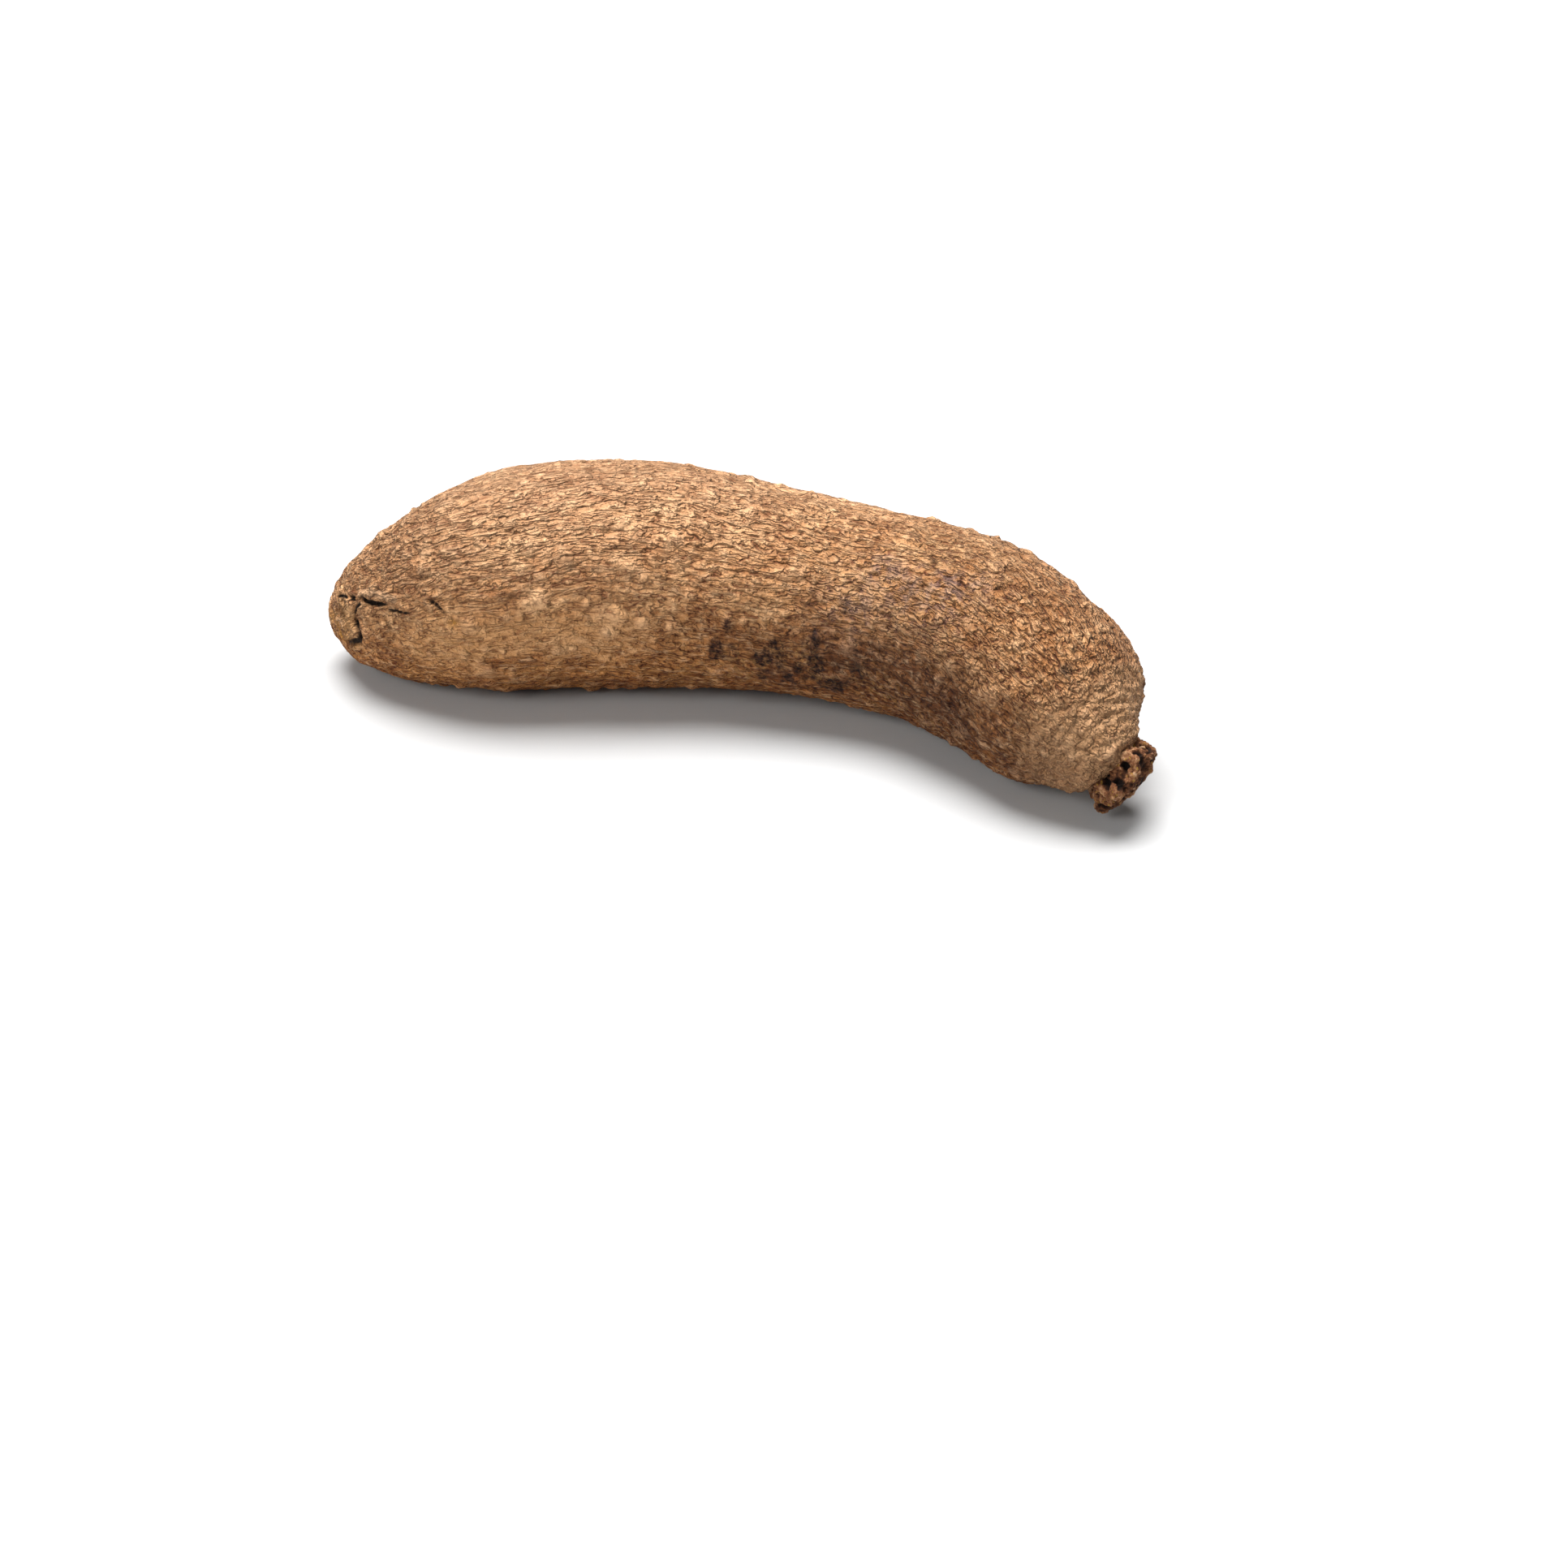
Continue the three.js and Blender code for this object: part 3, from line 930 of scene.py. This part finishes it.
FINE_CRACKS = 0.53  # waves per millimetre of grain
FORKED_CRACKS = 0.44
LONG_CRACKS = 0.15
here = noise(spot, 0.21, 2.0, 0.6).rise(0.45, 0.55)
there = 1 - here
width = 0.04 + 0.06 * noise(spot, 0.33, 1.0).rise(0.4, 0.6)
wave, off_line, fine_line = torn_line(crinkled, FINE_CRACKS, width)
elsewhere = crinkled.vector("ADD", (51.0, 17.0, 33.0))
fork_wave, off_fork, fork_line = torn_line(elsewhere, FORKED_CRACKS, width)
long_line = torn_line(swayed.vector("ADD", (7.0, 61.0, 5.0)), LONG_CRACKS, 0.022)[2]
long_crack = long_line * noise(grain, 0.1, 1.0).rise(0.46, 0.6)
cracks = fine_line * here + fork_line * there
cracks = (cracks * (0.3 + 0.7 * noise(spot, 0.4, 1.0).rise(0.42, 0.56))).clamped()
cracks = (cracks.math("MAXIMUM", cracks, long_crack) * (0.4 + 0.6 * calm)).clamped()

# %% Bark: height
flakes = noise(crinkled, 0.55, 2.0, 0.5) - 0.5
lumps = noise(spot, 0.3, 2.0, 0.55) - 0.5
groove = here * (off_line * 9.0).clamped() + there * (off_fork * 8.0).clamped()
ledge = here * (wave * 9.0 + 0.5).clamped() + there * (fork_wave * 8.0 + 0.5).clamped()
rough = 0.85 + 0.3 * chunky
round_it = bent(grain.vector("MULTIPLY", (1.7, 0.25, 0.25)), 0.3, (1.5, 1.0, 1.0))
streaks = noise(round_it, 0.55, 2.0, 0.5) - 0.5
bark_height = (
    calm * rough * (0.75 * groove + 0.8 * ledge + 2.4 * flakes - 0.3 * cracks)
    + (2.1 + 1.2 * chunky) * lumps + 0.8 * wart ** 0.6 + 0.8 * knoll ** 0.7 + 3.2 * collar * streaks
)

# %% [markdown]
# The colour starts as tan cork mottled with brown. Most changes multiply it by a tint, because dirt and
# shade darken a colour and keep its contrast, where plain dark paint would flatten it. Hollows of the
# bump relief get painted shade, darker and redder; raised edges are painted pale, partly as worn cork and
# partly as painted highlight; and the cracks get painted shade, nearly black.

# %% Bark: colour
relief = attribute(start, "relief")
sunny = attribute(start, "sunny")
dusk = attribute(start, "dusk")
underside = attribute(start, "underside")
mottle = noise(spot, 0.06, 4.0, 0.6)
freckle = noise(spot, 0.3, 3.0, 0.6)
tan_or_brown = (0.5 + 1.8 * (mottle - 0.5) + 0.9 * (freckle - 0.5)).clamped()
colour = tan_or_brown.mix(paint("a26633"), paint("ddac7a"))
# Partly painted light: the top is mixed paler and pinker.
colour = (sunny * 0.55).mix(colour, paint("d4a681"))
# Painted shade: the lower side is tinted darker and warmer.
colour = (underside * 0.9).shade(colour, (0.85, 0.64, 0.35))
colour = (chunky * 0.9).shade(colour, (0.82, 0.78, 0.74))
brown_patch = attribute(start, "brown_patch") * freckle.rise(0.38, 0.55)
colour = (brown_patch * 0.8).shade(colour, (0.5, 0.4, 0.34))
colour = (pale * 0.5).mix(colour, paint("dbb187"))
colour = (smoothness * 0.6).mix(colour, paint("cf9c68"))
colour = (blotch * (0.15 + 0.35 * smooth_patch)).mix(colour, paint("9c6638"))
colour = (collar * 0.7).mix(colour, paint("c89e76"))
colour = (collar * (1.5 * streaks + 0.4).clamped()).mix(colour, paint("946b45"))
# Partly painted shade: the darker washes multiply the colour.
colour = dusk.shade(colour, (0.42, 0.36, 0.31))
# Painted shade: the hollows of the bump relief are darkened and reddened, more on the lower side, standing
# in for shade that a bump cannot cast.
hollow = (0.1 - 1.8 * flakes - 1.5 * lumps - 0.3 * relief).clamped() * calm
colour = (hollow * (0.8 + 0.6 * underside + 0.3 * chunky)).clamped().shade(colour, (0.46, 0.33, 0.2))
# Painted highlight, partly wear: raised parts of the bump relief, warts and knolls are mixed pale, more on
# the lower side.
high = (1.8 * flakes + 1.5 * lumps).clamped() * calm
pale_zone = noise(spot, 0.05, 2.0, 0.5).rise(0.45, 0.6)
colour = (wart * pale_zone * 0.6).shade(colour, (1.5, 1.6, 1.7))
rubbed_and_painted_highlight = (wart * 0.1 + 0.12 * knoll + high * (0.32 + 0.25 * underside)).clamped()
colour = rubbed_and_painted_highlight.mix(colour, paint("ffd9b0"))
# Painted shade: the cracks are darkened nearly black, a little less on the paler top.
colour = (cracks * (0.95 - 0.3 * sunny)).shade(colour, (0.27, 0.14, 0.08))

# %% Bark: stains, marks and torn places
soil = noise(spot, 0.12, 4.0, 0.65)
stain = attribute(start, "stain")
stained = (stain + 1.4 * streaks + 1.2 * (soil - 0.5)).rise(0.28, 0.62) * stain.rise(0.02, 0.25)
golden = attribute(start, "gold") * noise(spot, 0.42, 3.0, 0.6).rise(0.48, 0.6)
colour = (stain * 0.9).clamped().shade(colour, (0.62, 0.54, 0.48))
stained = stained * (0.5 + 0.5 * noise(spot, 0.5, 3.0, 0.6).rise(0.4, 0.56))
colour = stained.shade(colour, (0.16, 0.11, 0.13))
colour = (golden * 0.5).mix(colour, paint("cf9a5c"))
haze = attribute(start, "haze") * noise(spot, 0.2, 3.0, 0.6).rise(0.42, 0.62)
colour = (haze * 0.38).mix(colour, paint("9b8680"))
old_cork = (1.6 * (freckle - 0.5) + 0.5).clamped().mix(paint("7d5430"), paint("cf9f66"))
colour = (attribute(start, "plug") * 0.6).mix(colour, old_cork)
colour = (attribute(start, "pale_rim") * 0.5).mix(colour, paint("cfa882"))
colour = (attribute(start, "orange_edge") * freckle.rise(0.35, 0.6)).mix(colour, paint("c08430"))
# Dark marks; in the pits and the scar's groove they are partly painted shade.
colour = (attribute(start, "dark_mark") * 0.85).mix(colour, paint("402a1c"))
# Painted shade: the gashes are painted nearly black inside.
colour = (attribute(start, "gash").rise(0.1, 0.6) * 0.97).mix(colour, paint("1d110a"))

# %% Put a dull finish on a piece
def dull_finish(piece, material, shader, colour, height, distance, roughness, gloss):
    """Links the colour and a bump of the height times the distance, and sets an even dull gloss."""
    relief_bump = colour.add("ShaderNodeBump", {}, {"Height": height, "Strength": 1.0, "Distance": distance},
                             output="Normal")
    links = material.node_tree.links
    links.new(colour.socket, shader.inputs["Base Color"])
    links.new(relief_bump.socket, shader.inputs["Normal"])
    shader.inputs["Roughness"].default_value = roughness
    shader.inputs["Specular IOR Level"].default_value = gloss
    piece.data.materials.append(material)
    print(material.name, "has", len(material.node_tree.nodes), "nodes")


BARK_BUMP = 2.4 * MM
dull_finish(bark_skin, bark, bark_shader, colour, bark_height, BARK_BUMP, 0.85, 0.25)

# %% [markdown]
# ## Crumbling cork
#
# The crown's material is darker and has no grain. Its colour follows the relief that the mesh carries:
# black in the hollows, brown on the lumps, with pale broken crumbs and a few yellow flecks of old flesh.
# The black in the hollows and the dark low relief are partly painted shade.

# %% Crown material
cork, cork_shader, start = new_material("crumbling_cork")
spot = start.add("ShaderNodeTexCoord", output="Object").vector("SCALE", 1 / MM)
cork_relief = attribute(start, "relief")
cork_lump = attribute(start, "lump")
crumb = noise(spot, 0.7, 4.0, 0.65)
# Partly painted shade: the colour runs from black where the relief is low to pale where it is high.
high = (cork_relief * 0.28 + 0.5 + 1.4 * (crumb - 0.5)).clamped()
colour = high.add("ShaderNodeValToRGB", {"stops": [
    (0.0, paint("160c06")), (0.32, paint("3f2211")), (0.62, paint("774c30")), (1.0, paint("b98e68"))]},
    {"Fac": high})
fleck = noise(spot, 0.55, 2.0).rise(0.6, 0.68) * high.rise(0.3, 0.6)
colour = (fleck * 0.7).mix(colour, paint("a07c2e"))
colour = (cork_lump.rise(0.8, 0.9) * high.rise(0.4, 0.7) * 0.6).mix(colour, paint("b49374"))
# Painted shade: the hollows are painted nearly black.
colour = (attribute(start, "hollow") * 0.85).mix(colour, paint("150b06"))
cork_height = 0.8 * (crumb - 0.5) + 0.5 * (noise(spot, 1.8, 3.0, 0.6) - 0.5)
dull_finish(crown, cork, cork_shader, colour, cork_height, MM, 0.9, 0.2)

# %% [markdown]
# ## Floor, backdrop, light and camera
#
# The tuber lies on a plain floor. Bark needs strong light from one side to show its relief, but a white
# floor throws so much light back that the relief goes flat. So the floor is painted mid-pale, and the
# lamps bring it up to white. Two sun lamps with wide angles stand for soft boxes, a strong one from above
# and behind and a weak one from the front, because they light the whole floor evenly. A dim world fills
# the shade. Far off stands a round white backdrop that hides the dim world in low views; it is kept
# from lighting or shading anything.

# %% Floor
def stage_piece(name, points, faces, colour, glow=0.0):
    """A piece of the stage in metres, dull and of one colour; a glow shines white with that strength."""
    mesh = bpy.data.meshes.new(name)
    mesh.from_pydata(points, [], faces)
    piece = bpy.data.objects.new(name, mesh)
    bpy.context.scene.collection.objects.link(piece)
    finish, shader, _ = new_material("plain_" + name)
    shader.inputs["Base Color"].default_value = colour
    shader.inputs["Roughness"].default_value = 0.9
    shader.inputs["Specular IOR Level"].default_value = 0.0
    shader.inputs["Emission Color"].default_value = (1.0, 1.0, 1.0, 1.0)
    shader.inputs["Emission Strength"].default_value = glow
    mesh.materials.append(finish)
    return piece


FLOOR_HALF = 13.0
floor_corners = [(x * FLOOR_HALF, y * FLOOR_HALF, 0) for x, y in ((-1, -1), (1, -1), (1, 1), (-1, 1))]
floor = stage_piece("floor", floor_corners, [(0, 1, 2, 3)], (0.5, 0.5, 0.5, 1.0))

# %% Backdrop
WALL_RADIUS = 12.0
WALL_HEIGHT = 8.0
WALL_PANELS = 64
turn = 2 * math.pi * np.arange(WALL_PANELS) / WALL_PANELS
foot = np.stack([WALL_RADIUS * np.cos(turn), WALL_RADIUS * np.sin(turn), 0 * turn], axis=-1)
left = np.arange(WALL_PANELS)
right = np.roll(left, -1)
wall_points = np.concatenate([foot, foot + [0, 0, WALL_HEIGHT]]).tolist()
wall_panels = np.stack([right, left, left + WALL_PANELS, right + WALL_PANELS], axis=-1).tolist()
wall = stage_piece("backdrop", wall_points, wall_panels, (0.0, 0.0, 0.0, 1.0), glow=1.0)
wall.visible_diffuse = False
wall.visible_glossy = False
wall.visible_shadow = False


# %% Light
def softbox(name, strength, width, towards):
    """A lamp whose light runs towards a direction everywhere, blurred over a width in degrees."""
    lamp = bpy.data.lights.new(name, "SUN")
    lamp.energy = strength
    lamp.angle = math.radians(width)
    holder = bpy.data.objects.new(name, lamp)
    holder.rotation_euler = Vector(towards).to_track_quat("-Z", "Y").to_euler()
    bpy.context.scene.collection.objects.link(holder)


FROM_ABOVE = (0.15, -0.2, -1.0)
FROM_THE_FRONT = (0.32, 0.75, -0.57)
WORLD_STRENGTH = 0.22
softbox("softbox_above", 6.6, 45, FROM_ABOVE)
softbox("softbox_front", 1.3, 25, FROM_THE_FRONT)
world = bpy.data.worlds.new("studio")
world.use_nodes = True
background = world.node_tree.nodes["Background"]
background.inputs["Color"].default_value = (1.0, 1.0, 1.0, 1.0)
background.inputs["Strength"].default_value = WORLD_STRENGTH
bpy.context.scene.world = world
bpy.context.scene.view_settings.view_transform = "Standard"

# %% Camera
AZIMUTH = math.radians(23.5)
ELEVATION = math.radians(33.0)
DISTANCE = 1.469
AIM_OFF_MIDDLE = Vector((0.0254, -0.0314, -0.0600))
aim = (YAM_LOW + YAM_HIGH) / 2 + AIM_OFF_MIDDLE
away = Vector((math.sin(AZIMUTH) * math.cos(ELEVATION), -math.cos(AZIMUTH) * math.cos(ELEVATION),
               math.sin(ELEVATION)))
camera_data = bpy.data.cameras.new("camera")
camera_data.lens = 85.0
camera_data.sensor_width = 36.0
camera = bpy.data.objects.new("camera", camera_data)
camera.location = aim + away * DISTANCE
camera.rotation_euler = (-away).to_track_quat("-Z", "Y").to_euler()
bpy.context.scene.collection.objects.link(camera)
bpy.context.scene.camera = camera
print("camera at", [round(value, 3) for value in camera.location])
